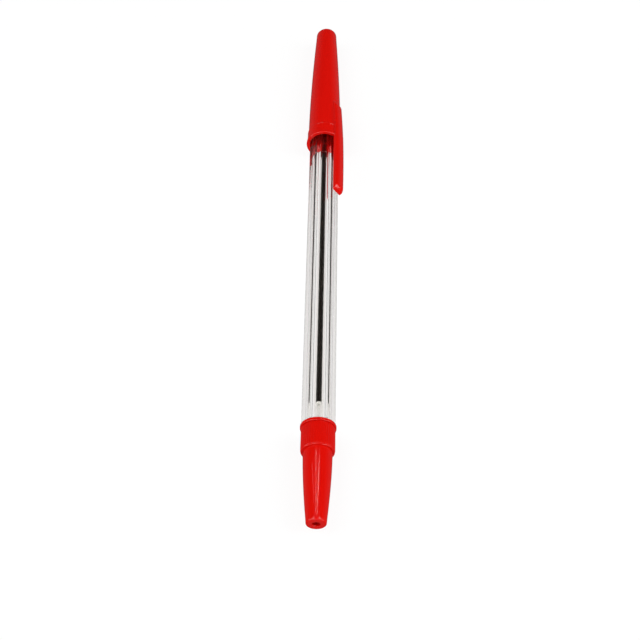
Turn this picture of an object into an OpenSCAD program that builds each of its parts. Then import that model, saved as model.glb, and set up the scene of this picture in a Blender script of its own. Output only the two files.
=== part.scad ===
// Stick ballpoint pen: a clear hexagonal barrel between a tapered tail plug and a capped writing end.
// The pen lies along +Y. The origin is the centre of the tail plug's end face, +Z is up, sizes are in mm.

/* [Barrel] */
// Length of the hexagonal part that shows between the tail plug and the nib section
grip_length = 89.2; // [60:0.1:120]
// Width of the hexagon across two opposite flats
grip_across_flats = 6.3; // [6.1:0.05:6.5]
// Diameter over the rounded corners of the hexagon
grip_across_corners = 7.16; // [7:0.02:7.2]
// Bevel that breaks the corners at both ends of the hexagon
grip_end_bevel = 0.3; // [0.1:0.05:0.5]
// Diameter of the bore that the refill hangs in
bore_diameter = 3.4; // [3:0.1:3.8]
// Diameter of the wider bore at the tail end
tail_bore_diameter = 4.3; // [4:0.1:4.5]
// How far the wider bore reaches into the hexagonal part
tail_bore_reach = 3.6; // [1:0.1:8]
// Diameter of the round spigot that the tail plug is pressed onto
tail_spigot_diameter = 5.5; // [5.3:0.05:5.7]
// Length of the tail spigot
tail_spigot_length = 5.6; // [4:0.1:6]
// Diameter of the round spigot that carries the nib section
nib_spigot_diameter = 4.8; // [4.6:0.05:5]
// Length of the nib spigot
nib_spigot_length = 7.4; // [5:0.1:7.6]

/* [Tail plug] */
// Length of the smooth tapered tail
tail_taper_length = 16.3; // [12:0.1:24]
// Diameter of the tail at its free end
tail_end_diameter = 4.08; // [3.6:0.02:4.6]
// Diameter of the tail where it meets the collar
tail_root_diameter = 6.12; // [5.8:0.02:6.4]
// How fast the tail swells: 1 is a straight cone, more is a fuller curve
tail_swell = 1.7; // [1:0.1:2.5]
// Radius of the rounded edge round the free end
tail_edge_radius = 0.5; // [0.2:0.05:0.8]
// Diameter of the vent hole through the end wall
vent_diameter = 1.7; // [1.2:0.1:2]
// Thickness of the end wall
tail_end_wall = 1.8; // [1:0.1:3]
// Thickness of the tail's side wall
tail_side_wall = 0.8; // [0.6:0.05:1]
// Length of the collar, from the end of the taper to the lip
collar_length = 5.4; // [5:0.1:8]
// Diameter over the crests of the lengthwise ribs
collar_diameter = 7.18; // [6.9:0.02:7.3]
// Depth of the grooves between the ribs
rib_depth = 0.09; // [0.04:0.01:0.14]
// Number of ribs round the collar
rib_count = 45; // [24:1:60]
// Height of the plain foot ring under the ribs
collar_foot_height = 0.8; // [0.6:0.1:1.5]
// Radius of the foot ring's rounded lower edge
collar_foot_radius = 0.35; // [0.1:0.05:0.5]
// How far the foot ring stands proud of the ribs
collar_foot_proud = 0.03; // [0.02:0.01:0.1]
// Diameter of the lip that stands proud of the collar
lip_diameter = 7.62; // [7.3:0.02:8]
// Length of the lip
lip_length = 1.1; // [0.8:0.1:1.6]
// Radius of the lip's rounded edges
lip_edge_radius = 0.3; // [0.1:0.05:0.35]

/* [Nib section] */
// Length of the collar that the cap grips
nib_collar_length = 8.2; // [7.8:0.1:10]
// Diameter of that collar
nib_collar_diameter = 6.2; // [6.1:0.02:6.24]
// Length of the tapered nose in front of the collar
nose_length = 23; // [18:0.1:24]
// Diameter of the nose where it leaves the collar
nose_base_diameter = 5.5; // [5:0.05:5.6]
// Diameter of the nose at its front edge
nose_front_diameter = 3; // [2.8:0.05:3.4]
// How late the nose narrows: 1 is a straight cone, more is a fuller curve
nose_fullness = 1.3; // [1:0.05:1.6]
// Radius of the rounded front edge of the nose
nose_edge_radius = 0.25; // [0.1:0.05:0.35]

/* [Refill] */
// Length of the refill tube
tube_length = 113.6; // [90:0.1:116]
// Outer diameter of the refill tube
tube_diameter = 2.3; // [2:0.05:2.5]
// Bore of the refill tube, which the ink fills
tube_bore = 1.2; // [1:0.05:1.4]
// Length of the clear grease plug behind the ink
grease_length = 0.7; // [0.4:0.1:2]
// Length of tube that is empty behind the grease; it grows as the ink is used
empty_length = 3; // [1:0.1:60]

/* [Metal point] */
// Length of the shank that is pressed into the refill tube
shank_length = 5; // [3:0.1:7]
// Diameter of the flange between the tube and the nose
flange_diameter = 2.2; // [2.1:0.02:2.26]
// Thickness of that flange
flange_thickness = 0.7; // [0.4:0.1:1]
// Diameter of the straight neck that passes through the nose
neck_diameter = 1.9; // [1.6:0.05:1.95]
// How deep inside the nose the flange's seat lies
seat_depth = 3.5; // [2.5:0.1:5]
// Length of the neck in front of the nose
neck_reach = 0.7; // [0.3:0.1:2]
// Length of the cone in front of the neck
point_cone_length = 2; // [1.5:0.1:3]
// Diameter of the ball housing behind the ball
housing_diameter = 1.2; // [1.14:0.02:1.3]
// Length of the ball housing
housing_length = 0.6; // [0.4:0.05:1]
// Diameter of the feed bore that brings the ink to the ball
feed_diameter = 0.5; // [0.4:0.02:0.56]
// Width of each feed groove in the ball seat
groove_width = 0.1; // [0.06:0.01:0.14]
// Number of feed grooves in the ball seat
groove_count = 5; // [3:1:6]
// Diameter of the writing ball
ball_diameter = 1; // [0.8:0.05:1.04]
// How far the housing's lip closes past the ball's centre
lip_wrap = 0.2; // [0.12:0.01:0.24]

/* [Cap] */
// Length of the cap from its mouth to its crown
cap_length = 44.5; // [42:0.1:60]
// How far the cap's mouth reaches back over the hexagon
cap_overlap = 4.1; // [2:0.1:6]
// Diameter of the rim bead at the mouth
cap_rim_diameter = 8.96; // [8.9:0.02:9.2]
// Length of the rim bead
cap_rim_length = 0.8; // [0.6:0.1:1.2]
// Radius of the rounded edge round the mouth's face
cap_mouth_edge_radius = 0.2; // [0.05:0.01:0.25]
// Radius that rounds the rim bead down to the band
cap_rim_edge_radius = 0.35; // [0.1:0.05:0.4]
// Diameter of the plain band beside the rim bead
cap_band_diameter = 8.58; // [8.5:0.02:8.8]
// Diameter of the band where it steps down to the taper
cap_band_end_diameter = 8.46; // [8.36:0.02:8.56]
// Length of the band and the rim bead together
cap_band_length = 4.1; // [2:0.1:6]
// Diameter where the smooth taper of the cap begins
cap_shoulder_diameter = 8.06; // [8:0.02:8.3]
// Diameter of the cap where its crown begins to round
cap_crown_diameter = 5.24; // [4.8:0.02:6]
// How late the cap narrows: 1 is a straight cone, more is a fuller curve
cap_fullness = 1.7; // [1.2:0.1:2.2]
// Radius of the rounded edge round the crown
cap_crown_radius = 0.9; // [0.4:0.05:1.2]
// Thickness of the wall round the cap's inner chamber
cap_wall = 0.95; // [0.9:0.05:1.1]
// Thickness of the closed crown
cap_crown_thickness = 1; // [0.8:0.1:1.5]

/* [Clip] */
// Direction of the clip round the pen, in degrees from straight up towards +X
clip_azimuth = 54; // [0:1:90]
// Width of the clip
clip_width = 2.6; // [2:0.1:3]
// Distance from the pen's axis to the clip's inner face
clip_inner_distance = 4; // [3.8:0.05:4.1]
// Distance from the pen's axis to the clip's outer face at the top of its bow
clip_outer_distance = 5.37; // [5.2:0.01:5.8]
// Radius of the long bow of the outer face
clip_bow_radius = 320; // [250:10:500]
// Distance from the free end to the top of the bow
clip_bow_place = 9.5; // [4:0.1:14]
// How far the clip reaches back past the cap's mouth
clip_reach = 19.4; // [14:0.1:26]
// How far up the cap from the mouth the clip's root sinks into the wall
clip_root_length = 15.3; // [12:0.1:18]
// Radius that rounds the outer corner of the free end
clip_end_radius = 2.4; // [0.4:0.05:2.6]
// Radius that runs the clip's outer face down into the cap at its root
clip_root_radius = 24; // [10:0.5:30]
// Radius of the two long outer edges
clip_edge_radius = 0.4; // [0.2:0.05:0.6]

/* [Fits] */
// Radial gap between pieces that are pressed together
press_gap = 0.01; // [0.01:0.01:0.02]
// Radial gap between pieces that slide on each other
sliding_gap = 0.03; // [0.02:0.01:0.04]
// Radial gap between the writing ball and its seat
ball_gap = 0.015; // [0.01:0.005:0.02]
// Gap between the corners of the hexagon and the cap's mouth
mouth_gap = 0.07; // [0.05:0.01:0.1]

/* [Hidden] */

$fn = 96;
// Steps in which a formula draws a long curve and a small rounded edge
curve_steps = 14;
edge_steps = 5;
// How far a cutting tool runs past the faces that it cuts
overcut = 0.5;

trim_red = [0.83, 0.05, 0.04];
clear_plastic = [0.9, 0.93, 0.94, 0.35];
milky_plastic = [0.88, 0.9, 0.88, 0.5];
ink_black = [0.08, 0.08, 0.09];
grease_grey = [0.7, 0.7, 0.66, 0.7];
point_metal = [0.72, 0.7, 0.66];
ball_metal = [0.45, 0.46, 0.48];

// Places along the pen, counted from the tail's end face
lip_start = tail_taper_length + collar_length;
grip_start = lip_start + lip_length;
grip_end = grip_start + grip_length;
collar_front = grip_end + nib_collar_length;
nose_front = collar_front + nose_length;
seat_front = nose_front - seat_depth;
tube_front = seat_front - flange_thickness;
tube_back = tube_front - tube_length;
shank_back = tube_front - shank_length;
grease_back = tube_back + empty_length;
ink_back = grease_back + grease_length;
neck_front = nose_front + neck_reach;
cone_front = neck_front + point_cone_length;
housing_front = cone_front + housing_length;
ball_centre = housing_front - lip_wrap;
cap_mouth = grip_end - cap_overlap;
cap_crown = cap_mouth + cap_length;
cap_band_end = cap_mouth + cap_band_length;
cap_chamber_end = cap_crown - cap_crown_thickness;
clip_end = cap_mouth - clip_reach;
clip_root = cap_mouth + clip_root_length;

// Radii that two pieces share
tail_socket_radius = tail_spigot_diameter / 2 + press_gap;
nib_socket_radius = nib_spigot_diameter / 2 + sliding_gap;
tube_hole_radius = tube_diameter / 2 + press_gap;
neck_hole_radius = neck_diameter / 2 + press_gap;
shank_radius = tube_bore / 2 - press_gap;
ink_radius = tube_bore / 2 - press_gap;
ball_seat_radius = ball_diameter / 2 + ball_gap;
cap_grip_radius = nib_collar_diameter / 2 + sliding_gap;
cap_mouth_radius = grip_across_corners / 2 + mouth_gap;

// Distance that the nib spigot stops short of the bottom of its socket
spigot_end_gap = 0.3;

// A quarter circle of points round [x, y], from angle a to angle b
function rounded_edge(x, y, radius, a, b) = [
    for (i = [0 : edge_steps])
        let (angle = a + (b - a) * i / edge_steps)
        [x + radius * cos(angle), y + radius * sin(angle)]
];

// Outer radius of the tail at a distance from its end face
function tail_radius(at) =
    (tail_root_diameter - (tail_root_diameter - tail_end_diameter)
        * pow(1 - at / tail_taper_length, tail_swell)) / 2;

// Outer radius of the nose at a distance in front of the collar
function nose_radius(at) =
    (nose_base_diameter - (nose_base_diameter - nose_front_diameter)
        * pow(at / nose_length, nose_fullness)) / 2;

// Outer radius of the cap at a place between its band and its crown
function cap_radius(at) =
    (cap_shoulder_diameter - (cap_shoulder_diameter - cap_crown_diameter)
        * pow((at - cap_band_end) / (cap_crown - cap_band_end), cap_fullness)) / 2;

// Stands a shape that was drawn along Z on the pen's axis, which is Y
module along_pen() {
    rotate([-90, 0, 0]) children();
}

// A round bar or hole between two places along the pen
module round_bar(from, to, radius) {
    translate([0, 0, from]) cylinder(r = radius, h = to - from);
}

// The hexagonal grip, with a flat on top, its corners rounded and its ends bevelled
module hexagonal_grip() {
    corner_radius = grip_across_corners / 2;
    bevelled_radius = corner_radius - grip_end_bevel;
    intersection() {
        translate([0, 0, grip_start])
            cylinder(d = grip_across_flats / cos(30), h = grip_length, $fn = 6);
        rotate_extrude()
            polygon([
                [0, grip_start], [bevelled_radius, grip_start],
                [corner_radius, grip_start + grip_end_bevel],
                [corner_radius, grip_end - grip_end_bevel],
                [bevelled_radius, grip_end], [0, grip_end]
            ]);
    }
}

module barrel() {
    tail_spigot_back = grip_start - tail_spigot_length;
    nib_spigot_front = grip_end + nib_spigot_length;
    color(clear_plastic) along_pen() difference() {
        union() {
            hexagonal_grip();
            round_bar(tail_spigot_back, grip_start + overcut, tail_spigot_diameter / 2);
            round_bar(grip_end - overcut, nib_spigot_front, nib_spigot_diameter / 2);
        }
        round_bar(tail_spigot_back - overcut, nib_spigot_front + overcut, bore_diameter / 2);
        round_bar(tail_spigot_back - overcut, grip_start + tail_bore_reach, tail_bore_diameter / 2);
    }
}

// The solid outside of the tail plug without its ribs: tail, foot ring, collar core and lip
module tail_outside() {
    foot_radius = collar_diameter / 2 + collar_foot_proud;
    core_radius = collar_diameter / 2 - 2 * rib_depth;
    lip_radius = lip_diameter / 2;
    foot_top = tail_taper_length + collar_foot_height;
    taper_points = [
        for (i = [1 : curve_steps])
            let (at = tail_edge_radius + (tail_taper_length - tail_edge_radius) * i / curve_steps)
            [tail_radius(at), at]
    ];
    rotate_extrude()
        polygon(concat(
            [[0, 0]],
            rounded_edge(tail_radius(tail_edge_radius) - tail_edge_radius, tail_edge_radius,
                tail_edge_radius, -90, 0),
            taper_points,
            rounded_edge(foot_radius - collar_foot_radius, tail_taper_length + collar_foot_radius,
                collar_foot_radius, -90, 0),
            [[foot_radius, foot_top], [core_radius, foot_top], [core_radius, lip_start]],
            rounded_edge(lip_radius - lip_edge_radius, lip_start + lip_edge_radius,
                lip_edge_radius, -90, 0),
            rounded_edge(lip_radius - lip_edge_radius, grip_start - lip_edge_radius,
                lip_edge_radius, 0, 90),
            [[0, grip_start]]
        ));
}

// The ribbed band of the collar, one crest and one groove for each rib
module collar_ribs() {
    crest_radius = collar_diameter / 2;
    translate([0, 0, tail_taper_length + collar_foot_height])
        linear_extrude(collar_length - collar_foot_height)
            polygon([
                for (i = [0 : 2 * rib_count - 1])
                    let (radius = i % 2 == 0 ? crest_radius : crest_radius - rib_depth)
                    radius * [cos(180 * i / rib_count), sin(180 * i / rib_count)]
            ]);
}

module tail_plug() {
    socket_bottom = grip_start - tail_spigot_length;
    cavity_front_radius = tail_bore_diameter / 2;
    cavity_back_radius = tail_radius(tail_end_wall) - tail_side_wall;
    color(trim_red) along_pen() difference() {
        union() {
            tail_outside();
            collar_ribs();
        }
        round_bar(socket_bottom, grip_start + overcut, tail_socket_radius);
        translate([0, 0, tail_end_wall])
            cylinder(r1 = cavity_back_radius, r2 = cavity_front_radius, h = socket_bottom - tail_end_wall);
        round_bar(-overcut, tail_end_wall + overcut, vent_diameter / 2);
    }
}

// The solid outside of the nib section: the collar that the cap grips and the tapered nose
module nib_outside() {
    collar_radius = nib_collar_diameter / 2;
    nose_edge_start = nose_length - nose_edge_radius;
    nose_points = [
        for (i = [0 : curve_steps])
            let (at = nose_edge_start * i / curve_steps)
            [nose_radius(at), collar_front + at]
    ];
    rotate_extrude()
        polygon(concat(
            [[0, grip_end], [collar_radius, grip_end], [collar_radius, collar_front]],
            nose_points,
            rounded_edge(nose_radius(nose_edge_start) - nose_edge_radius,
                nose_front - nose_edge_radius, nose_edge_radius, 0, 90),
            [[0, nose_front]]
        ));
}

module nib_section() {
    socket_bottom = grip_end + nib_spigot_length + spigot_end_gap;
    color(trim_red) along_pen() difference() {
        nib_outside();
        round_bar(grip_end - overcut, socket_bottom, nib_socket_radius);
        round_bar(grip_end, seat_front, tube_hole_radius);
        round_bar(grip_end, nose_front + overcut, neck_hole_radius);
    }
}

module refill_tube() {
    color(milky_plastic) along_pen() difference() {
        round_bar(tube_back, tube_front, tube_diameter / 2);
        round_bar(tube_back - overcut, tube_front + overcut, tube_bore / 2);
    }
}

// The ink fills the tube up to the metal point and the point's feed bore up to the ball seat
module ink_column() {
    feed_ink_radius = feed_diameter / 2 - press_gap;
    feed_ink_front = ball_centre - ball_diameter;
    color(ink_black) along_pen() union() {
        round_bar(ink_back, shank_back, ink_radius);
        round_bar(shank_back - overcut, feed_ink_front, feed_ink_radius);
    }
}

module grease_follower() {
    color(grease_grey) along_pen()
        round_bar(grease_back, ink_back, ink_radius);
}

// The metal point in one turned profile: shank, flange, neck, cone and ball housing
module tip_outside() {
    housing_radius = housing_diameter / 2;
    lip_radius = (ball_seat_radius + housing_radius) / 2;
    shank_lead = shank_radius / 4;
    rotate_extrude()
        polygon([
            [0, shank_back], [shank_radius - shank_lead, shank_back],
            [shank_radius, shank_back + shank_lead], [shank_radius, tube_front],
            [flange_diameter / 2, tube_front], [flange_diameter / 2, seat_front],
            [neck_diameter / 2, seat_front], [neck_diameter / 2, neck_front],
            [housing_radius, cone_front], [housing_radius, ball_centre],
            [lip_radius, housing_front], [0, housing_front]
        ]);
}

// The feed grooves run out from the feed bore behind the ball and bring the ink past its seat
module feed_grooves() {
    groove_reach = ball_seat_radius * 0.8;
    for (i = [0 : groove_count - 1])
        rotate([0, 0, 360 * i / groove_count])
            translate([0, -groove_width / 2, ball_centre - ball_diameter * 0.75])
                cube([groove_reach, groove_width, ball_diameter * 0.5]);
}

module writing_tip() {
    color(point_metal) along_pen() difference() {
        tip_outside();
        round_bar(shank_back - overcut, ball_centre, feed_diameter / 2);
        translate([0, 0, ball_centre]) sphere(r = ball_seat_radius);
        feed_grooves();
    }
}

module writing_ball() {
    color(ball_metal) along_pen()
        translate([0, 0, ball_centre]) sphere(d = ball_diameter);
}

// The outside of the cap: rim bead, band, long taper and rounded crown
module cap_outside() {
    rim_radius = cap_rim_diameter / 2;
    rim_end = cap_mouth + cap_rim_length;
    crown_edge_start = cap_crown - cap_crown_radius;
    taper_points = [
        for (i = [0 : curve_steps])
            let (at = cap_band_end + (crown_edge_start - cap_band_end) * i / curve_steps)
            [cap_radius(at), at]
    ];
    rotate_extrude()
        polygon(concat(
            [[0, cap_mouth]],
            rounded_edge(rim_radius - cap_mouth_edge_radius, cap_mouth + cap_mouth_edge_radius,
                cap_mouth_edge_radius, -90, 0),
            rounded_edge(rim_radius - cap_rim_edge_radius, rim_end - cap_rim_edge_radius,
                cap_rim_edge_radius, 0, 50),
            [[cap_band_diameter / 2, rim_end], [cap_band_end_diameter / 2, cap_band_end]],
            taper_points,
            rounded_edge(cap_radius(crown_edge_start) - cap_crown_radius, crown_edge_start,
                cap_crown_radius, 0, 90),
            [[0, cap_crown]]
        ));
}

// The inside of the cap: wide mouth, grip bore, and a chamber that follows the outside
module cap_inside() {
    chamber_edge = cap_crown_radius / 2;
    chamber_edge_start = cap_chamber_end - chamber_edge;
    chamber_points = [
        for (i = [0 : curve_steps])
            let (at = collar_front + (chamber_edge_start - collar_front) * i / curve_steps)
            [cap_radius(at) - cap_wall, at]
    ];
    rotate_extrude()
        polygon(concat(
            [
                [0, cap_mouth - overcut], [cap_mouth_radius, cap_mouth - overcut],
                [cap_mouth_radius, grip_end + mouth_gap], [cap_grip_radius, grip_end + mouth_gap],
                [cap_grip_radius, collar_front]
            ],
            chamber_points,
            rounded_edge(cap_radius(chamber_edge_start) - cap_wall - chamber_edge,
                chamber_edge_start, chamber_edge, 0, 90),
            [[0, cap_chamber_end]]
        ));
}

// Side view of the clip, as distance from the axis against place along the pen
module clip_side_view() {
    root_distance = cap_radius(clip_root) - cap_wall / 2;
    root_angle = acos(1 - (clip_outer_distance - root_distance) / clip_root_radius);
    rim_end = cap_mouth + cap_rim_length;
    intersection() {
        translate([clip_outer_distance - clip_bow_radius, clip_end + clip_bow_place])
            circle(r = clip_bow_radius, $fn = 1440);
        polygon(concat(
            [[0, clip_end]],
            rounded_edge(clip_outer_distance - clip_end_radius, clip_end + clip_end_radius,
                clip_end_radius, -90, 0),
            rounded_edge(clip_outer_distance - clip_root_radius,
                clip_root - clip_root_radius * sin(root_angle), clip_root_radius, 0, root_angle),
            [[0, clip_root]]
        ));
        union() {
            translate([clip_inner_distance, clip_end - overcut])
                square([clip_outer_distance, clip_root - clip_end]);
            translate([root_distance, rim_end])
                square([clip_outer_distance, clip_root - rim_end + overcut]);
        }
    }
}

// Cross-section of the clip, square inside and rounded at its two outer edges
module clip_cross_section() {
    square_width = clip_width - 2 * clip_edge_radius;
    edge_distance = clip_outer_distance - clip_edge_radius;
    translate([0, -square_width / 2]) square([clip_outer_distance, square_width]);
    translate([0, -clip_width / 2]) square([edge_distance, clip_width]);
    for (side = [-1, 1])
        translate([edge_distance, side * square_width / 2])
            circle(r = clip_edge_radius);
}

module clip() {
    rotate([0, 0, clip_azimuth - 90]) intersection() {
        rotate([90, 0, 0])
            linear_extrude(clip_width, center = true) clip_side_view();
        translate([0, 0, clip_end - overcut])
            linear_extrude(clip_root - clip_end + 2 * overcut) clip_cross_section();
    }
}

module cap() {
    color(trim_red) along_pen() difference() {
        union() {
            cap_outside();
            clip();
        }
        cap_inside();
    }
}

barrel();
tail_plug();
nib_section();
refill_tube();
ink_column();
grease_follower();
writing_tip();
writing_ball();
cap();
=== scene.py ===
"""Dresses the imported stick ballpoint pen: fine mouldings, ink and metal on the CAD frame.

The pen lies along +Y, its tail end at the origin and +Z up. The classes hold millimetres, and a
piece becomes metres when it is finished.
"""

import logging
import math
from dataclasses import dataclass
from enum import Enum
from typing import Callable, Iterable

import bmesh
import bpy
from mathutils import Matrix, Vector


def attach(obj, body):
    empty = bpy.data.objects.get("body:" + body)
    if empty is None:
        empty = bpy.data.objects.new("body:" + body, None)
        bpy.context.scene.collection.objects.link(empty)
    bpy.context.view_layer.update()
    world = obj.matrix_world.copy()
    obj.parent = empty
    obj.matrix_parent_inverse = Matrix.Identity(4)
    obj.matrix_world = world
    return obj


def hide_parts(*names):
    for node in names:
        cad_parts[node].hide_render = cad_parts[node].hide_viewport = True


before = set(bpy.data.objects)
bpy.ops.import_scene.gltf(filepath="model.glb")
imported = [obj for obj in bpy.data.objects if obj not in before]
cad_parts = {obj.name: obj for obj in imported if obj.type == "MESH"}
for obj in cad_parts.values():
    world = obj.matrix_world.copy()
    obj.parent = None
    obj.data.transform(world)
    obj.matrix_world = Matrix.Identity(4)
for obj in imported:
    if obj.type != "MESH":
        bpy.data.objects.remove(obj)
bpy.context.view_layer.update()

log = logging.getLogger("pen")

MM = 0.001
FULL_TURN = 2 * math.pi
# Steps of a turned piece round its axis, of a curved side and of one rounded corner
TURN_STEPS = 128
SIDE_STEPS = 28
CORNER_STEPS = 5
# Points closer than this, in mm, are one point
WELD = 1e-4
# Faces that meet at more than this, in degrees, keep a sharp edge
SHARP_ANGLE = 32.0
# The photograph is this many pixels square
PHOTO_PIXELS = 640
# Turns what is drawn flat in X and Y to stand across the pen
ACROSS_PEN = Matrix.Rotation(math.radians(90), 3, "X")

Setting = float | int | str | bool
SocketValue = float | tuple[float, ...] | bpy.types.NodeSocket
# A ring's radius, or what gives it for each point
Outline = float | Callable[[bmesh.types.BMVert], float]


def linear_colour(hex_code: str) -> tuple[float, float, float, float]:
    """Turns an sRGB hex colour into the linear colour that a shader takes.

    Args:
        hex_code: Six hex digits, red first.

    Returns:
        Red, green, blue and an alpha of one, all linear.
    """
    channels = [int(hex_code[i:i + 2], 16) / 255 for i in (0, 2, 4)]
    red, green, blue = (
        c / 12.92 if c <= 0.04045 else ((c + 0.055) / 1.055) ** 2.4 for c in channels
    )
    return red, green, blue, 1.0


def add_node(
    tree: bpy.types.NodeTree,
    kind: str,
    settings: dict[str, Setting] | None = None,
    inputs: dict[str | int, SocketValue] | None = None,
) -> bpy.types.Node:
    """Adds one shader node with its settings, values and links.

    Args:
        tree: The node tree that the node joins.
        kind: The node's type name after "ShaderNode".
        settings: Attribute names and their values.
        inputs: Socket names or places, each with a value or with the output that feeds it.

    Returns:
        The new node.
    """
    node = tree.nodes.new("ShaderNode" + kind)
    for name, value in (settings or {}).items():
        setattr(node, name, value)
    for name, value in (inputs or {}).items():
        if isinstance(value, bpy.types.NodeSocket):
            tree.links.new(value, node.inputs[name])
        else:
            node.inputs[name].default_value = value
    return node


def new_material(name: str) -> tuple[bpy.types.Material, bpy.types.NodeTree, bpy.types.Node]:
    """Starts a material with one Principled shader.

    Args:
        name: The material's name.

    Returns:
        The material, its node tree and the shader node.
    """
    material = bpy.data.materials.new(name)
    material.use_nodes = True
    tree = material.node_tree
    return material, tree, tree.nodes["Principled BSDF"]


def pen_noise(
    tree: bpy.types.NodeTree, width: float, length: float, detail: float, roughness: float = 0.5
) -> bpy.types.Node:
    """Adds a noise whose grain may be drawn out along the pen.

    Args:
        tree: The node tree.
        width: The grain across the pen, in mm.
        length: The grain along the pen, in mm.
        detail: The noise's detail.
        roughness: The noise's roughness.

    Returns:
        The noise node.
    """
    across, along = 1 / (width * MM), 1 / (length * MM)
    drawn = add_node(tree, "Mapping", inputs={
        "Vector": add_node(tree, "TexCoord").outputs["Object"],
        "Scale": (across, along, across),
    })
    return add_node(tree, "TexNoise", inputs={
        "Vector": drawn.outputs["Vector"], "Scale": 1.0, "Detail": detail,
        "Roughness": roughness,
    })


@dataclass(frozen=True)
class MouldedPolypropylene:
    """Injection-moulded polypropylene: a soft gloss over a slightly cloudy, deep colour.

    The polished mould leaves a fine peel, the melt leaves long faint flow streaks, and handling
    leaves short scuffs that dull the gloss.
    """

    name: str
    colour: str
    streak_colour: str
    roughness: float = 0.06
    ior: float = 1.45
    # Length and width of a flow streak, grain and height of the peel, spacing of the scuffs, in mm
    streak_length: float = 14.0
    streak_width: float = 1.6
    peel_grain: float = 0.5
    peel_height: float = 0.00002
    scuff_spacing: float = 2.2
    # The roughness where the mould's polish is left and where it is scuffed, as shares
    polished_share: float = 0.85
    scuffed_share: float = 1.35

    def build(self) -> bpy.types.Material:
        """Makes the material."""
        material, tree, shader = new_material(self.name)
        streaks = pen_noise(tree, self.streak_width, self.streak_length, 3.0, 0.55)
        colours = add_node(tree, "Mix", {"data_type": "RGBA"}, {
            "Factor": streaks.outputs["Fac"],
            "A": linear_colour(self.colour), "B": linear_colour(self.streak_colour),
        })
        scuffs = pen_noise(tree, self.scuff_spacing, self.scuff_spacing, 5.0, 0.65)
        gloss = add_node(tree, "MapRange", inputs={
            "Value": scuffs.outputs["Fac"], "From Min": 0.3, "From Max": 0.75,
            "To Min": self.roughness * self.polished_share,
            "To Max": self.roughness * self.scuffed_share,
        })
        peel = pen_noise(tree, self.peel_grain, self.peel_grain, 2.0)
        bump = add_node(tree, "Bump", inputs={
            "Height": peel.outputs["Fac"], "Strength": 0.5, "Distance": self.peel_height * MM,
        })
        tree.links.new(colours.outputs["Result"], shader.inputs["Base Color"])
        tree.links.new(gloss.outputs["Result"], shader.inputs["Roughness"])
        tree.links.new(bump.outputs["Normal"], shader.inputs["Normal"])
        shader.inputs["IOR"].default_value = self.ior
        return material


@dataclass(frozen=True)
class ClearPlastic:
    """A clear or milky plastic or grease that light passes through.

    Long faint draw lines run along the pen where the melt or the die has dragged.
    """

    name: str
    colour: str
    ior: float
    roughness: float
    clearness: float
    # Spacing across and along the draw lines, in mm, and their height
    line_spacing: float = 0.9
    line_length: float = 40.0
    line_height: float = 0.0004
    # How much rougher the haziest lines are, as a share and as a plain addition
    haze_share: float = 1.5
    haze_least: float = 0.01

    def build(self) -> bpy.types.Material:
        """Makes the material."""
        material, tree, shader = new_material(self.name)
        lines = pen_noise(tree, self.line_spacing, self.line_length, 2.0)
        bump = add_node(tree, "Bump", inputs={
            "Height": lines.outputs["Fac"], "Strength": 0.4, "Distance": self.line_height * MM,
        })
        haze = add_node(tree, "MapRange", inputs={
            "Value": lines.outputs["Fac"], "From Min": 0.35, "From Max": 0.7,
            "To Min": self.roughness,
            "To Max": self.roughness * self.haze_share + self.haze_least,
        })
        tree.links.new(bump.outputs["Normal"], shader.inputs["Normal"])
        tree.links.new(haze.outputs["Result"], shader.inputs["Roughness"])
        shader.inputs["Base Color"].default_value = linear_colour(self.colour)
        shader.inputs["IOR"].default_value = self.ior
        shader.inputs["Transmission Weight"].default_value = self.clearness
        return material


@dataclass(frozen=True)
class InkPaste:
    """Black oil-based paste ink: wet, dense, and a little brown where it thins at the wall."""

    name: str = "black_paste_ink"
    colour: str = "0f0d0b"
    thin_colour: str = "1c1713"
    roughness: float = 0.4
    # Width and length of a smear, in mm
    smear_width: float = 0.5
    smear_length: float = 6.0

    def build(self) -> bpy.types.Material:
        """Makes the material."""
        material, tree, shader = new_material(self.name)
        smears = pen_noise(tree, self.smear_width, self.smear_length, 4.0)
        colours = add_node(tree, "Mix", {"data_type": "RGBA"}, {
            "Factor": smears.outputs["Fac"],
            "A": linear_colour(self.colour), "B": linear_colour(self.thin_colour),
        })
        tree.links.new(colours.outputs["Result"], shader.inputs["Base Color"])
        shader.inputs["Roughness"].default_value = self.roughness
        # The paste wets the tube's wall, so there is no air gap to reflect in
        shader.inputs["Specular IOR Level"].default_value = 0.0
        return material


@dataclass(frozen=True)
class TurnedMetal:
    """A small turned or ground metal part: fine tool rings, dulled a little by handling."""

    name: str
    colour: str
    roughness: float
    # Pitch of the tool's rings in mm, drawn coarser than the real 0.02 mm so that they show
    ring_pitch: float = 0.12
    ring_height: float = 0.001
    # Grain of the handling marks in mm, and the roughness without and with them, as shares
    handling_grain: float = 0.4
    bright_share: float = 0.7
    dulled_share: float = 1.4

    def build(self) -> bpy.types.Material:
        """Makes the material."""
        material, tree, shader = new_material(self.name)
        rings = add_node(tree, "TexWave", {"bands_direction": "Y"}, {
            "Vector": add_node(tree, "TexCoord").outputs["Object"],
            "Scale": 1 / (self.ring_pitch * MM) / FULL_TURN, "Distortion": 0.6, "Detail": 2.0,
        })
        handled = pen_noise(tree, self.handling_grain, self.handling_grain, 4.0)
        gloss = add_node(tree, "MapRange", inputs={
            "Value": handled.outputs["Fac"], "To Min": self.roughness * self.bright_share,
            "To Max": self.roughness * self.dulled_share,
        })
        bump = add_node(tree, "Bump", inputs={
            "Height": rings.outputs["Fac"], "Strength": 0.5, "Distance": self.ring_height * MM,
        })
        tree.links.new(gloss.outputs["Result"], shader.inputs["Roughness"])
        tree.links.new(bump.outputs["Normal"], shader.inputs["Normal"])
        shader.inputs["Base Color"].default_value = linear_colour(self.colour)
        shader.inputs["Metallic"].default_value = 1.0
        return material


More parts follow.
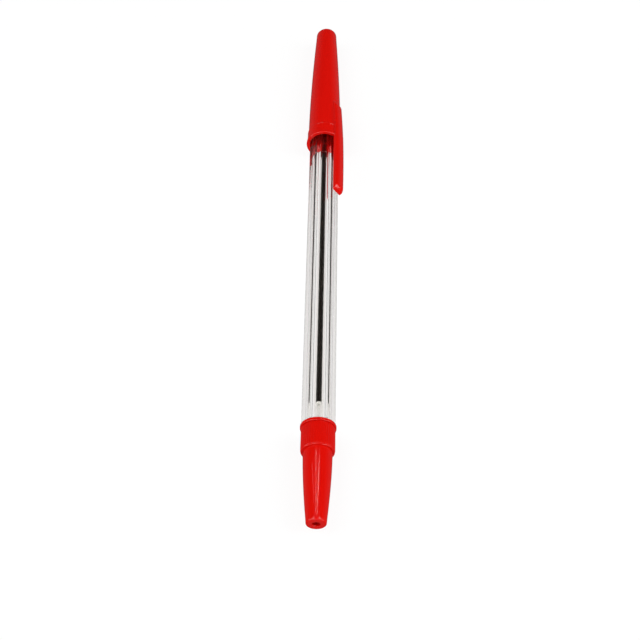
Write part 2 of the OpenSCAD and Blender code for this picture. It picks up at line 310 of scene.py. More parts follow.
class Finish(Enum):
    """The pen's finishes, each with the record's material slot that it belongs to."""

    RED = ("red_polypropylene", MouldedPolypropylene(
        "moulded_red_polypropylene", colour="cb0b04", streak_colour="d30e05"))
    # The thin sleeve round the refill, which lets the ink show through; its red tint over the ink
    # is painted red light from the cap's red inside
    SHEER_RED = ("red_polypropylene", ClearPlastic(
        "sheer_red_painted_light", colour="d8160f", ior=1.49, roughness=0.01,
        clearness=0.97))
    CLEAR = ("clear_polystyrene", ClearPlastic(
        "moulded_clear_polystyrene", colour="fffdfb", ior=1.5, roughness=0.0, clearness=1.0))
    MILKY = ("milky_polypropylene", ClearPlastic(
        "extruded_milky_polypropylene", colour="fbfbfa", ior=1.49, roughness=0.02,
        clearness=1.0, line_spacing=0.3, line_length=25.0))
    INK = ("black_ink", InkPaste())
    GREASE = ("clear_grease", ClearPlastic(
        "clear_grease", colour="40322c", ior=1.47, roughness=0.25, clearness=0.3,
        line_spacing=0.4, line_length=0.6))
    NICKEL = ("nickel_silver", TurnedMetal(
        "turned_nickel_silver", colour="dcd8cf", roughness=0.28))
    CARBIDE = ("carbide_steel", TurnedMetal(
        "ground_tungsten_carbide", colour="9c9ea0", roughness=0.2))

    @property
    def slot(self) -> str:
        """The record's slot name."""
        return self.value[0]

    @property
    def material(self) -> bpy.types.Material:
        """The Blender material, made when it is first asked for."""
        recipe = self.value[1]
        return bpy.data.materials.get(recipe.name) or recipe.build()


@dataclass(frozen=True)
class Corner:
    """A corner of a turned profile: its radius, its place along the pen and its rounding."""

    radius: float
    along: float
    rounding: float = 0.0


def curve_corners(
    radius_at: Callable[[float], float], start: float, end: float, steps: int = SIDE_STEPS
) -> list[Corner]:
    """Follows a curved side as a row of corners.

    Args:
        radius_at: The radius at a place along the pen.
        start: The first place.
        end: The last place.
        steps: How many stretches the curve has.

    Returns:
        The corners, from start to end.
    """
    places = [start + (end - start) * i / steps for i in range(steps + 1)]
    return [Corner(radius_at(along), along) for along in places]


def round_points(
    shape: bmesh.types.BMesh, points: list[bmesh.types.BMVert], offset: float
) -> None:
    """Rounds points of a drawn outline.

    Args:
        shape: The mesh.
        points: The points.
        offset: How far from each point its rounding starts, in mm.
    """
    bmesh.ops.bevel(
        shape, geom=points, offset=offset, offset_type="OFFSET", segments=CORNER_STEPS,
        profile=0.5, affect="VERTICES", material=-1,
    )


def turned(corners: list[Corner]) -> bmesh.types.BMesh:
    """Turns a profile about the pen's axis into a closed solid.

    Args:
        corners: The profile in order. It is closed, unless it starts and ends on the axis.

    Returns:
        The mesh, in mm, with its normals outwards.
    """
    shape = bmesh.new()
    points = [shape.verts.new((c.radius, c.along, 0.0)) for c in corners]
    open_ended = corners[0].radius == 0 and corners[-1].radius == 0
    following = points[1:] if open_ended else points[1:] + points[:1]
    for first, second in zip(points, following):
        shape.edges.new((first, second))
    for corner, point in zip(corners, points):
        if corner.rounding:
            arms = [(e.other_vert(point).co - point.co).normalized() for e in point.link_edges]
            half_angle = arms[0].angle(arms[1]) / 2
            round_points(shape, [point], corner.rounding / math.tan(half_angle))
    bmesh.ops.spin(
        shape, geom=shape.verts[:] + shape.edges[:], cent=(0, 0, 0), axis=(0, 1, 0),
        dvec=(0, 0, 0), angle=FULL_TURN, steps=TURN_STEPS, use_merge=True, use_duplicate=False,
    )
    close_up(shape)
    return shape


def close_up(shape: bmesh.types.BMesh) -> None:
    """Welds doubled points and turns the faces outwards."""
    bmesh.ops.remove_doubles(shape, verts=shape.verts, dist=WELD)
    bmesh.ops.recalc_face_normals(shape, faces=shape.faces)


def extend_ring(
    shape: bmesh.types.BMesh, ring: list[bmesh.types.BMEdge]
) -> tuple[list[bmesh.types.BMEdge], list[bmesh.types.BMVert]]:
    """Extrudes an open ring of edges by one step, in place.

    Args:
        shape: The mesh.
        ring: The open ring that the step grows from.

    Returns:
        The edges and the points of the new ring.
    """
    made = bmesh.ops.extrude_edge_only(shape, edges=ring)["geom"]
    points = [g for g in made if isinstance(g, bmesh.types.BMVert)]
    edges = [g for g in made if isinstance(g, bmesh.types.BMEdge) and g.is_boundary]
    return edges, points


def loft(shape: bmesh.types.BMesh, stations: list[tuple[float, Outline]]) -> None:
    """Lofts the open ring that a mesh holds through places along the pen into a closed solid.

    Args:
        shape: The mesh with its ring.
        stations: The places in order, each with the ring's outline.
    """
    ring, points = shape.edges[:], shape.verts[:]
    for number, (along, outline) in enumerate(stations):
        if number:
            ring, points = extend_ring(shape, ring)
        for point in points:
            radius = outline(point) if callable(outline) else outline
            out = Vector((point.co.x, 0, point.co.z)).normalized() * radius
            point.co = (out.x, along, out.z)
    close_up(shape)


def new_object(name: str, data: bpy.types.ID) -> bpy.types.Object:
    """Puts a mesh, a lamp or a camera into the scene."""
    made = bpy.data.objects.new(name, data)
    bpy.context.scene.collection.objects.link(made)
    return made


def finish_piece(
    shape: bmesh.types.BMesh, name: str, finish: Finish, body: str, nodes: Iterable[str] = ()
) -> bpy.types.Object:
    """Makes a mesh in mm into a finished, dressed piece of the pen.

    Args:
        shape: The mesh, which is used up.
        name: The piece's name.
        finish: Its finish.
        body: The CAD body that it rides on.
        nodes: The CAD nodes that it stands for.

    Returns:
        The piece's object, at the origin.
    """
    bmesh.ops.transform(shape, matrix=Matrix.Scale(MM, 4), verts=shape.verts)
    mesh = bpy.data.meshes.new(name)
    shape.to_mesh(mesh)
    shape.free()
    mesh.polygons.foreach_set("use_smooth", [True] * len(mesh.polygons))
    mesh.set_sharp_from_angle(angle=math.radians(SHARP_ANGLE))
    mesh.materials.append(finish.material)
    piece = new_object(name, mesh)
    even = piece.modifiers.new("even_shading", "WEIGHTED_NORMAL")
    even.keep_sharp = True
    # The lamps shine on through the clear pieces
    piece.visible_shadow = not isinstance(finish.value[1], ClearPlastic)
    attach(piece, body)
    finish.slot
    if nodes:
        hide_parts(*nodes)
    log.info("%s: %d faces, %s", name, len(mesh.polygons), finish.name.lower())
    return piece


def dress_node(node: str, finish: Finish) -> None:
    """Gives a CAD node that stays in sight its finish.

    Args:
        node: The CAD node's name.
        finish: Its finish.
    """
    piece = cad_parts[node]
    piece.data.materials.clear()
    piece.data.materials.append(finish.material)
    finish.slot
    log.info("%s: CAD node, %s", node, finish.name.lower())


@dataclass
class Barrel:
    """The clear hexagonal barrel with its bores and its two round spigots."""

    tail_spigot_back: float = 17.2
    grip_start: float = 22.8
    grip_end: float = 112.0
    nib_spigot_front: float = 119.4
    across_flats: float = 6.3
    across_corners: float = 7.16
    corner_rounding: float = 0.37
    end_bevel: float = 0.3
    tail_spigot_radius: float = 2.75
    nib_spigot_radius: float = 2.4
    bore_radius: float = 1.7
    tail_bore_radius: float = 2.15
    tail_bore_front: float = 22.6
    bore_cone: float = 1.6
    bore_chamfer: float = 0.12
    spigot_chamfer: float = 0.15
    # Half the angle of one side of the hexagon, and the steps of one flat
    half_side: float = math.radians(30)
    flat_steps: int = 18

    def outline(self, shape: bmesh.types.BMesh) -> dict[float, float]:
        """Draws the hexagon with rounded corners as an open ring across the pen.

        Args:
            shape: The empty mesh that the ring is drawn in.

        Returns:
            The hexagon's reach from the axis for each direction, keyed by rounded angle.
        """
        bmesh.ops.create_circle(
            shape, cap_ends=False, segments=6,
            radius=self.across_flats / 2 / math.cos(self.half_side),
        )
        round_points(shape, shape.verts[:], self.corner_rounding * math.tan(self.half_side))
        # Only the flats are longer than this, and not the steps of a rounded corner
        flats = [e for e in shape.edges if e.calc_length() > self.across_flats / 4]
        bmesh.ops.subdivide_edges(shape, edges=flats, cuts=self.flat_steps - 1)
        flat_on_top = Matrix.Rotation(math.radians(90), 3, "Z")
        bmesh.ops.rotate(
            shape, cent=(0, 0, 0), matrix=ACROSS_PEN @ flat_on_top, verts=shape.verts
        )
        return {self.direction(v): v.co.length for v in shape.verts}

    @staticmethod
    def direction(point: bmesh.types.BMVert) -> float:
        """A point's direction round the pen, rounded so that it can be looked up."""
        return round(math.atan2(point.co.z, point.co.x), 3)

    def stations(self, reach: dict[float, float]) -> list[tuple[float, Outline]]:
        """The rings of the barrel's skin in order.

        Args:
            reach: The hexagon's reach from the axis for each direction.

        Returns:
            The place of each ring and its outline.
        """
        def hexagon(limit: float) -> Outline:
            return lambda point: min(reach[self.direction(point)], limit)

        corner = self.across_corners / 2
        bevelled = corner - self.end_bevel
        half_way, half_bevel = (bevelled + corner) / 2, self.end_bevel / 2
        chamfer, half_cone = self.spigot_chamfer, self.bore_cone / 2
        return [
            (self.tail_spigot_back, self.tail_bore_radius),
            (self.tail_spigot_back, self.tail_spigot_radius - chamfer),
            (self.tail_spigot_back + chamfer, self.tail_spigot_radius),
            (self.grip_start, self.tail_spigot_radius),
            (self.grip_start, hexagon(bevelled)),
            (self.grip_start + half_bevel, hexagon(half_way)),
            (self.grip_start + self.end_bevel, hexagon(corner)),
            (self.grip_end - self.end_bevel, hexagon(corner)),
            (self.grip_end - half_bevel, hexagon(half_way)),
            (self.grip_end, hexagon(bevelled)),
            (self.grip_end, self.nib_spigot_radius),
            (self.nib_spigot_front - chamfer, self.nib_spigot_radius),
            (self.nib_spigot_front, self.nib_spigot_radius - chamfer),
            (self.nib_spigot_front, self.bore_radius + self.bore_chamfer),
            (self.nib_spigot_front - self.bore_chamfer, self.bore_radius),
            (self.tail_bore_front + half_cone, self.bore_radius),
            (self.tail_bore_front - half_cone, self.tail_bore_radius),
            (self.tail_spigot_back, self.tail_bore_radius),
        ]

    def build(self) -> bpy.types.Object:
        """Lofts the barrel ring by ring and finishes it."""
        shape = bmesh.new()
        loft(shape, self.stations(self.outline(shape)))
        return finish_piece(shape, "barrel_moulding", Finish.CLEAR, "barrel", ["barrel"])


@dataclass
class TailPlug:
    """The red tail plug: smooth taper, vent, foot ring, ribbed collar and proud lip."""

    taper_length: float = 16.3
    end_radius: float = 2.04
    root_radius: float = 3.06
    swell: float = 1.7
    end_rounding: float = 0.3
    vent_radius: float = 0.85
    vent_chamfer: float = 0.1
    end_wall: float = 1.8
    side_wall: float = 0.8
    foot_radius: float = 3.52
    foot_rounding: float = 0.15
    rib_start: float = 16.6
    rib_end: float = 22.0
    core_radius: float = 3.41
    rib_crest_radius: float = 3.59
    rib_depth: float = 0.07
    rib_count: int = 45
    rib_steps: int = 8
    # How sharp the grooves are, and how the ribs start: length, first rise and root's depth
    groove_power: float = 1.5
    rib_fade: float = 0.12
    rib_rise: float = 0.04
    rib_sink: float = 0.05
    lip_radius: float = 3.81
    lip_end: float = 22.7
    lip_rounding: float = 0.14
    foot_edge_rounding: float = 0.06
    socket_rounding: float = 0.08
    socket_radius: float = 2.76
    socket_bottom: float = 17.2
    cavity_radius: float = 2.15

    def radius_at(self, along: float) -> float:
        """The tail's outer radius at a place along the pen."""
        swelling = (1 - along / self.taper_length) ** self.swell
        return self.root_radius - (self.root_radius - self.end_radius) * swelling

    def build(self) -> list[bpy.types.Object]:
        """Builds the turned plug and its ribs."""
        back_cavity = self.radius_at(self.end_wall) - self.side_wall
        side = curve_corners(self.radius_at, self.end_rounding, self.taper_length)
        corners = [
            Corner(self.vent_radius, 0.0, self.vent_chamfer),
            Corner(self.radius_at(self.end_rounding), 0.0, self.end_rounding),
            *side[2:],
            Corner(self.foot_radius, self.taper_length, self.foot_rounding),
            Corner(self.foot_radius, self.rib_start, self.foot_edge_rounding),
            Corner(self.core_radius, self.rib_start),
            Corner(self.core_radius, self.rib_end),
            Corner(self.lip_radius, self.rib_end, self.lip_rounding),
            Corner(self.lip_radius, self.lip_end, self.lip_rounding),
            Corner(self.socket_radius, self.lip_end, self.socket_rounding),
            Corner(self.socket_radius, self.socket_bottom),
            Corner(self.cavity_radius, self.socket_bottom),
            Corner(back_cavity, self.end_wall),
            Corner(self.vent_radius, self.end_wall),
        ]
        plug = finish_piece(
            turned(corners), "tail_plug_moulding", Finish.RED, "barrel", ["tail_plug"]
        )
        return [plug, self.ribs()]

    def ribs(self) -> bpy.types.Object:
        """Lofts the band of rounded ribs that stands on the collar's core."""
        shape = bmesh.new()
        bmesh.ops.create_circle(
            shape, cap_ends=False, segments=self.rib_count * self.rib_steps,
            radius=self.rib_crest_radius,
        )
        bmesh.ops.rotate(shape, cent=(0, 0, 0), matrix=ACROSS_PEN, verts=shape.verts)
        hidden, risen = self.core_radius - self.rib_sink, self.core_radius + self.rib_rise
        loft(shape, [
            (self.rib_start, hidden), (self.rib_start, risen),
            (self.rib_start + self.rib_fade, self.rib_radius),
            (self.rib_end - self.rib_fade, self.rib_radius),
            (self.rib_end, risen), (self.rib_end, hidden), (self.rib_start, hidden),
        ])
        return finish_piece(shape, "tail_collar_ribs", Finish.RED, "barrel")

    def rib_radius(self, point: bmesh.types.BMVert) -> float:
        """The ribs' outer radius in a point's direction: rounded crests, narrow grooves."""
        wave = (1 - math.cos(self.rib_count * math.atan2(point.co.z, point.co.x))) / 2
        return self.rib_crest_radius - self.rib_depth * wave ** self.groove_power


@dataclass
class Refill:
    """The refill: milky tube, black paste ink and the clear grease behind it."""

    tube_back: float = 24.0
    tube_front: float = 139.0
    tube_radius: float = 1.15
    tube_bore_radius: float = 0.6
    tube_rounding: float = 0.06
    grease_back: float = 27.5
    ink_back: float = 28.1
    ink_front: float = 134.0
    feed_front: float = 145.3
    feed_radius: float = 0.24
    # The paste wets the tube, so its skin lies just inside the tube's wall
    wetting: float = 0.004
    meniscus: float = 0.06
    # The grease's hollow end: shares of the radius and of the meniscus's depth
    hollow: tuple[tuple[float, float], ...] = ((0.0, 1.0), (0.5, 0.8), (0.85, 0.35), (1.0, 0.0))

    def build(self) -> list[bpy.types.Object]:
        """Builds the tube, the ink and the grease."""
        rounding = self.tube_rounding
        tube = turned([
            Corner(self.tube_bore_radius, self.tube_back, rounding),
            Corner(self.tube_radius, self.tube_back, rounding),
            Corner(self.tube_radius, self.tube_front, rounding),
            Corner(self.tube_bore_radius, self.tube_front, rounding),
        ])
        wet_radius = self.tube_bore_radius + self.wetting
        ink = turned([
            Corner(0.0, self.ink_back),
            Corner(wet_radius, self.ink_back),
            Corner(wet_radius, self.ink_front),
            Corner(self.feed_radius, self.ink_front),
            Corner(self.feed_radius, self.feed_front),
            Corner(0.0, self.feed_front),
        ])
        grease = turned([
            *(Corner(wet_radius * out, self.grease_back + self.meniscus * dip)
              for out, dip in self.hollow),
            Corner(wet_radius, self.ink_back),
            Corner(0.0, self.ink_back),
        ])
        return [
            finish_piece(tube, "refill_tube_wall", Finish.MILKY, "writing_unit", ["refill_tube"]),
            finish_piece(ink, "ink_paste", Finish.INK, "writing_unit", ["ink_column"]),
            finish_piece(
                grease, "grease_plug", Finish.GREASE, "writing_unit", ["grease_follower"]
            ),
        ]


@dataclass
class NibSection:
    """The red nib section: a collar that the cap grips and a tapered nose."""

    back: float = 112.0
    collar_front: float = 120.2
    nose_front: float = 143.2
    collar_radius: float = 3.1
    nose_base_radius: float = 2.75
    nose_front_radius: float = 1.5
    fullness: float = 1.3
    nose_rounding: float = 0.25
    edge_rounding: float = 0.12
    socket_rounding: float = 0.08
    hole_rounding: float = 0.05
    sleeve_rounding: float = 0.1
    socket_radius: float = 2.43
    socket_front: float = 119.7
    tube_hole_radius: float = 1.16
    seat_front: float = 139.7
    neck_hole_radius: float = 0.96
    sleeve_back: float = 102.9
    sleeve_front: float = 119.8
    sleeve_radius: float = 1.71
    sleeve_hole_radius: float = 1.2

    def radius_at(self, along: float) -> float:
        """The nose's outer radius at a place along the pen."""
        share = (along - self.collar_front) / (self.nose_front - self.collar_front)
        narrowing = (self.nose_base_radius - self.nose_front_radius) * share ** self.fullness
        return self.nose_base_radius - narrowing

    def build(self) -> bpy.types.Object:
        """Builds the nib section."""
        rounding_start = self.nose_front - self.nose_rounding
        nose = curve_corners(self.radius_at, self.collar_front, rounding_start)
        corners = [
            Corner(self.socket_radius, self.back, self.socket_rounding),
            Corner(self.collar_radius, self.back, self.edge_rounding),
            Corner(self.collar_radius, self.collar_front, self.edge_rounding),
            *nose[:-1],
            Corner(self.radius_at(rounding_start), self.nose_front, self.nose_rounding),
            Corner(self.neck_hole_radius, self.nose_front, self.hole_rounding),
            Corner(self.neck_hole_radius, self.seat_front),
            Corner(self.tube_hole_radius, self.seat_front),
            Corner(self.tube_hole_radius, self.socket_front),
            Corner(self.socket_radius, self.socket_front),
        ]
        return finish_piece(
            turned(corners), "nib_section_moulding", Finish.RED, "writing_unit", ["nib_section"]
        )

    def sleeve(self) -> bpy.types.Object:
        """Builds a thin sleeve round the refill inside the barrel's front end, whose red tint over
        the ink is painted red light from the cap's inside.
        """
        corners = [
            Corner(self.sleeve_hole_radius, self.sleeve_back, self.hole_rounding),
            Corner(self.sleeve_radius, self.sleeve_back, self.sleeve_rounding),
            Corner(self.sleeve_radius, self.sleeve_front),
            Corner(self.sleeve_hole_radius, self.sleeve_front),
        ]
        return finish_piece(turned(corners), "sleeve_tinted_with_painted_red_light", Finish.SHEER_RED, "writing_unit")


class MetalPoint:
    """The turned metal point and its ball, whose CAD solids stay in sight."""

    def build(self) -> None:
        """Dresses the point and the ball."""
        dress_node("writing_tip", Finish.NICKEL)
        dress_node("writing_ball", Finish.CARBIDE)


@dataclass
class Cap:
    """The red cap: rim, plain band with a fine bead, long taper, crown and hollow inside."""

    mouth: float = 107.9
    crown: float = 152.4
    rim_radius: float = 4.48
    rim_length: float = 0.8
    # The rim's edge beside the band lies a little nearer the axis and the mouth, and is soft
    rim_draft: float = 0.05
    rim_lean: float = 0.02
    rim_rounding: float = 0.175
    mouth_rounding: float = 0.2
    hollow_rounding: float = 0.06
    band_radius: float = 4.29
    band_rounding: float = 0.1
    band_end: float = 112.0
    band_roll: float = 0.4
    band_steps: int = 8
    bead_height: float = 0.02
    bead_flank: float = 0.04
    bead_setback: float = 0.03
    bead_rounding: float = 0.015
    band_end_radius: float = 4.23
    shoulder_radius: float = 4.03
    crown_radius: float = 2.62
    fullness: float = 1.7
    crown_rounding: float = 0.9
    outer_steps: int = 36
    inner_steps: int = 24
    wall: float = 0.95
    crown_thickness: float = 1.0
    mouth_radius: float = 3.65
    grip_radius: float = 3.13
    grip_rounding: float = 0.12
    grip_start: float = 112.07
    grip_end: float = 120.2
    # The gate mark: a shallow round dimple in the crown
    gate_radius: float = 0.55
    gate_depth: float = 0.12
    gate_flank: float = 0.15
    gate_rounding: float = 0.08
    gate_edge_rounding: float = 0.1

    def radius_at(self, along: float) -> float:
        """The cap's outer radius at a place between its band and its crown."""
        share = (along - self.band_end) / (self.crown - self.band_end)
        narrowing = (self.shoulder_radius - self.crown_radius) * share ** self.fullness
        return self.shoulder_radius - narrowing

    def band_end_at(self, along: float) -> float:
        """The outer radius where the band rolls over to the taper."""
        share = (self.band_end - along) / self.band_roll
        step = self.band_end_radius + self.bead_height - self.shoulder_radius
        return self.shoulder_radius + step * math.sqrt(1 - (1 - share) ** 2)

    def build(self) -> bpy.types.Object:
        """Builds the cap without its clip."""
        rounding_start = self.crown - self.crown_rounding
        side = curve_corners(self.radius_at, rounding_start, self.band_end, self.outer_steps)
        roll = curve_corners(
            self.band_end_at, self.band_end, self.band_end - self.band_roll, self.band_steps
        )
        chamber_end = self.crown - self.crown_thickness
        chamber_rounding = self.crown_rounding / 2
        chamber = curve_corners(
            lambda along: self.radius_at(along) - self.wall,
            self.grip_end, chamber_end - chamber_rounding, self.inner_steps,
        )
        rim_end = self.mouth + self.rim_length
        bead_radius = self.band_end_radius + self.bead_height
        bead_back = self.band_end - self.band_roll - self.bead_setback
        corners = [
            Corner(0.0, self.crown - self.gate_depth),
            Corner(self.gate_radius, self.crown - self.gate_depth, self.gate_rounding),
            Corner(self.gate_radius + self.gate_flank, self.crown, self.gate_edge_rounding),
            Corner(self.radius_at(rounding_start), self.crown, self.crown_rounding),
            *side[2:],
            *roll,
            Corner(bead_radius, bead_back, self.bead_rounding),
            Corner(self.band_end_radius, bead_back - self.bead_flank, self.bead_rounding),
            Corner(self.band_radius, rim_end, self.band_rounding),
            Corner(self.rim_radius - self.rim_draft, rim_end - self.rim_lean, self.rim_rounding),
            Corner(self.rim_radius, self.mouth + self.rim_length / 2),
            Corner(self.rim_radius, self.mouth, self.mouth_rounding),
            Corner(self.mouth_radius, self.mouth, self.hollow_rounding),
            Corner(self.mouth_radius, self.grip_start),
            Corner(self.grip_radius, self.grip_start, self.grip_rounding),
            Corner(self.grip_radius, self.grip_end),
            *chamber,
            Corner(self.radius_at(chamber_end) - self.wall, chamber_end, chamber_rounding),
            Corner(0.0, chamber_end),
        ]
        return finish_piece(turned(corners), "cap_moulding", Finish.RED, "cap", ["cap"])


@dataclass
class Clip:
    """The cap's clip: a long bow with rounded outer edges that runs down into the cap."""

    azimuth: float = 54.0
    width: float = 3.12
    inner_distance: float = 3.84
    outer_distance: float = 5.37
    bow_radius: float = 320.0
    bow_top: float = 98.0
    end_back: float = 88.85
    end_length: float = 1.9
    rim_end: float = 108.7
    root: float = 121.8
    root_distance: float = 3.4
    root_radius: float = 9.0
    # How far the clip's inner face lies inside the cap's wall where they are joined
    root_sink: float = 0.3
    edge_rounding: float = 1.25
    inner_rounding: float = 0.3
    end_corner: float = 0.4
    stations: int = 72
    end_stations: int = 18
    # Lengths of the steps at the very end and where the clip enters the rim
    end_step: float = 0.006
    rim_step: float = 0.02

    def outer_at(self, along: float) -> float:
        """The distance of the outer face from the axis at a place along the pen."""
        bow = self.outer_distance - self.bow_radius + math.sqrt(
            self.bow_radius ** 2 - (along - self.bow_top) ** 2)
        if along < self.end_back + self.end_length:
            rise = math.sqrt(1 - (1 - (along - self.end_back) / self.end_length) ** 2)
            thickness = self.outer_distance - self.inner_distance
            return min(bow, self.inner_distance + thickness * rise)
        fall = self.outer_distance - self.root_distance
        root_angle = math.acos(1 - fall / self.root_radius)
        root_centre = self.root - self.root_radius * math.sin(root_angle)
        if along > root_centre:
            drop = math.sqrt(self.root_radius ** 2 - (along - root_centre) ** 2)
            return min(bow, self.outer_distance - self.root_radius + drop)
        return bow

    def inner_at(self, along: float) -> float:
        """The distance of the inner face from the axis at a place along the pen."""
        sunk = self.root_distance - self.root_sink
        return self.inner_distance if along <= self.rim_end else sunk

    def narrowing_at(self, along: float) -> float:
        """How far each side draws in at the rounded corners of the free end."""
        short = max(0.0, self.end_corner - (along - self.end_back))
        return self.end_corner - math.sqrt(self.end_corner ** 2 - short ** 2)

    def places(self) -> list[float]:
        """The places of the clip's sections, closer together at its rounded free end."""
        first, steps = self.end_back + self.end_step, self.end_stations
        near = [first + self.end_length * (i / steps) ** 2 for i in range(steps + 1)]
        far = self.root - near[-1]
        rest = [near[-1] + far * i / self.stations for i in range(1, self.stations + 1)]
        return sorted(near + rest + [self.rim_end, self.rim_end + self.rim_step])

    def build(self) -> bpy.types.Object:
        """Lofts the clip section by section and finishes it."""
        shape = bmesh.new()
        half = self.width / 2
        # A section is drawn with its inner face at height 0 and its outer face at height 1
        sides = [(-half, 0.0), (half, 0.0), (half, 1.0), (-half, 1.0)]
        points = [shape.verts.new((across, 0.0, height)) for across, height in sides]
        for first, second in zip(points, points[1:] + points[:1]):
            shape.edges.new((first, second))
        for point, (_, height) in zip(points, sides):
            round_points(shape, [point], self.edge_rounding if height else self.inner_rounding)
        offsets = [
            (v.co.x, v.co.z if v.co.z < 0.5 else v.co.z - 1, v.co.z > 0.5) for v in shape.verts
        ]
        place_of = {v: n for n, v in enumerate(shape.verts)}
        ring, points = shape.edges[:], shape.verts[:]
        order = [offsets[place_of[v]] for v in points]
        for number, along in enumerate(self.places()):
            if number:
                before = {tuple(round(c, 6) for c in v.co): o for v, o in zip(points, order)}
                ring, points = extend_ring(shape, ring)
                order = [before[tuple(round(c, 6) for c in v.co)] for v in points]
            inner, outer = self.inner_at(along), self.outer_at(along)
            share = min(1.0, (outer - inner) / (self.edge_rounding + self.inner_rounding))
            drawn_in = 1 - self.narrowing_at(along) / half
            for point, (across, offset, is_outer) in zip(points, order):
                base = outer if is_outer else inner
                point.co = (across * drawn_in, along, base + offset * share)
        ends = [e for e in shape.edges if e.is_boundary]
        bmesh.ops.edgeloop_fill(shape, edges=ends)
        turn = Matrix.Rotation(math.radians(self.azimuth), 3, "Y")
        bmesh.ops.rotate(shape, cent=(0, 0, 0), matrix=turn, verts=shape.verts)
        close_up(shape)
        return finish_piece(shape, "cap_clip", Finish.RED, "cap")


@dataclass
class Studio:
    """The pale floor, the soft lights, the world and the photograph's camera."""

    pen_middle: tuple[float, float, float] = (0.0, 76.0, 0.0)
    tail_middle: tuple[float, float, float] = (0.0, 8.0, 0.0)
    floor_height: float = -4.5
    floor_size: float = 2400.0
    floor_squares: int = 4
    # Distances from the pen between which the board fades into the white behind it, in mm
    fade_start: float = 200.0
    fade_end: float = 700.0
    # The board is white, but a softer grey where it shows in the pen's gloss
    board_white: str = "fbfbfb"
    board_grey: str = "444444"
    # Share of the floor's look that is plain white, which leaves the shadow faint
    white_share: float = 0.9
    # The same share in the pen's gloss, where the floor's own shade counts for more
    gloss_share: float = 0.06
    # The same share in the light that the sweep throws back on the pen's sides
    fill_share: float = 0.35
    # How high the white sweep behind the floor reaches, as parts of the way to straight up
    sweep_start: float = 0.12
    sweep_end: float = 0.5
    # How bright the room is on the camera's side and beyond, and where the one turns to the other
    near_wall_level: float = 0.4
    ceiling_level: float = 0.03
    near_wall_end: float = -0.6
    ceiling_start: float = 0.4
    focal_pixels: float = 1131.0
    camera_place: tuple[float, float, float] = (0.0, -106.05, 197.3)
    camera_elevation: float = 51.5
    camera_roll: float = 1.23
    sideways_pixels: float = 0.5
    upward_pixels: float = 0.3
    # The nearest and the farthest that the camera sees, in metres
    sight: tuple[float, float] = (0.01, 20.0)
    sensor: float = 36.0
    bounces: int = 32
    # Each strip light's turn about the pen in degrees and its power in watts
    strips: tuple[tuple[float, float], ...] = ((-34.0, 0.02), (-10.0, 0.16), (12.0, 0.17))
    # The strips' way from the tail, and its parts across and along the pen
    strip_distance: float = 700.0
    strip_across: float = 0.915
    strip_along: float = 0.4
    strip_size: tuple[float, float] = (8.0, 190.0)
    # Each softbox's name, place and side in mm, and power in watts
    softboxes: tuple[tuple[str, tuple[float, float, float], float, float], ...] = (
        ("key_softbox", (-520.0, -90.0, 760.0), 560.0, 4.1),
        ("fill_softbox", (560.0, -70.0, 620.0), 520.0, 4.0),
        ("left_side_softbox", (-800.0, -150.0, 240.0), 460.0, 1.7),
        ("right_side_softbox", (800.0, -150.0, 240.0), 460.0, 1.7),
        ("mouth_softbox", (-180.0, -560.0, 430.0), 420.0, 0.4),
    )

    def build(self) -> None:
        """Builds the whole studio."""
        self.floor()
        self.world()
        self.camera()
        self.light_paths()
        tail = Vector(self.tail_middle)
        for number, (turn, power) in enumerate(self.strips):
            side, rise = math.sin(math.radians(turn)), math.cos(math.radians(turn))
            way = Vector((self.strip_across * side, self.strip_along, self.strip_across * rise))
            place = tail + self.strip_distance * way
            self.hang(f"strip_{number}", place, tail, self.strip_size, power)
        for name, place, size, power in self.softboxes:
            self.hang(name, Vector(place), Vector(self.pen_middle), (size, size), power)

    def floor(self) -> None:
        """Lays the white floor, which shows plain white and keeps the pen's shadow."""
        shape = bmesh.new()
        bmesh.ops.create_grid(
            shape, x_segments=self.floor_squares, y_segments=self.floor_squares,
            size=self.floor_size * MM / 2,
        )
        middle = (0, self.pen_middle[1] * MM, self.floor_height * MM)
        bmesh.ops.translate(shape, vec=middle, verts=shape.verts)
        mesh = bpy.data.meshes.new("floor")
        shape.to_mesh(mesh)
        shape.free()
        material, tree, shader = new_material("matt_white_board")
        shade = add_node(tree, "Mix", {"data_type": "RGBA"}, {
            "Factor": add_node(tree, "LightPath").outputs["Is Glossy Ray"],
            "A": linear_colour(self.board_white), "B": linear_colour(self.board_grey),
        })
        tree.links.new(shade.outputs["Result"], shader.inputs["Base Color"])
        shader.inputs["Roughness"].default_value = 0.9
        shader.inputs["Specular IOR Level"].default_value = 0.0
        glow = add_node(tree, "Emission", inputs={"Color": (1, 1, 1, 1), "Strength": 1.0})
        way = add_node(tree, "VectorMath", {"operation": "LENGTH"}, {
            0: add_node(tree, "TexCoord").outputs["Object"],
        })
        far = add_node(tree, "MapRange", {"interpolation_type": "SMOOTHSTEP"}, {
            "Value": way.outputs["Value"], "From Min": self.fade_start * MM,
            "From Max": self.fade_end * MM,
            "To Max": add_node(tree, "LightPath").outputs["Is Camera Ray"],
        })
        share = add_node(tree, "Math", {"operation": "MAXIMUM"}, {
            0: self.white_seen(tree), 1: far.outputs["Result"],
        })
        mix = add_node(tree, "MixShader", inputs={
            0: share.outputs[0], 1: shader.outputs[0], 2: glow.outputs[0],
        })
        tree.links.new(mix.outputs[0], tree.nodes["Material Output"].inputs["Surface"])
        mesh.materials.append(material)
        new_object("floor", mesh)

